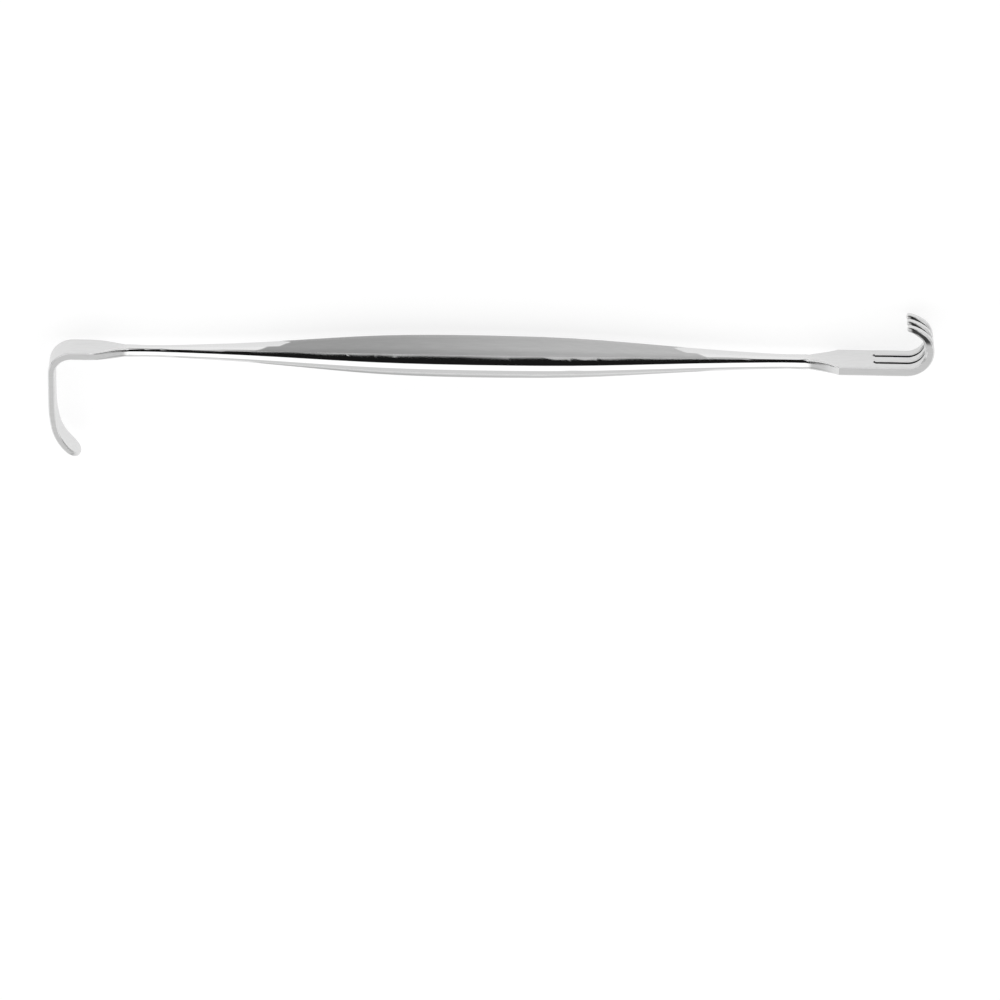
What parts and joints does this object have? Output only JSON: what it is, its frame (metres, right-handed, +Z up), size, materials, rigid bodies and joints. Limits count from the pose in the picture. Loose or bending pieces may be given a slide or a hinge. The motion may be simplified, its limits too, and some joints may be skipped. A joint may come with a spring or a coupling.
{
  "type": "cheek retractor",
  "caption": "Slim one-piece hand retractor in satin steel, with a spindle handle, a right-angled blade at one end and a curled, slotted rake at the other.",
  "frame": {"origin": "middle of the floor under the instrument, which lies on its side", "axes": "+X from the blade end to the rake end, +Y the way the prongs curl, +Z up, across the width of the blade and the rake"},
  "size_m": [0.16, 0.03, 0.0093],
  "materials": {
    "stainless_steel": "satin flats and ends, polished necks and handle edges"
  },
  "bodies": {
    "root": {"retractor": "stainless_steel"}
  },
  "joints": []
}
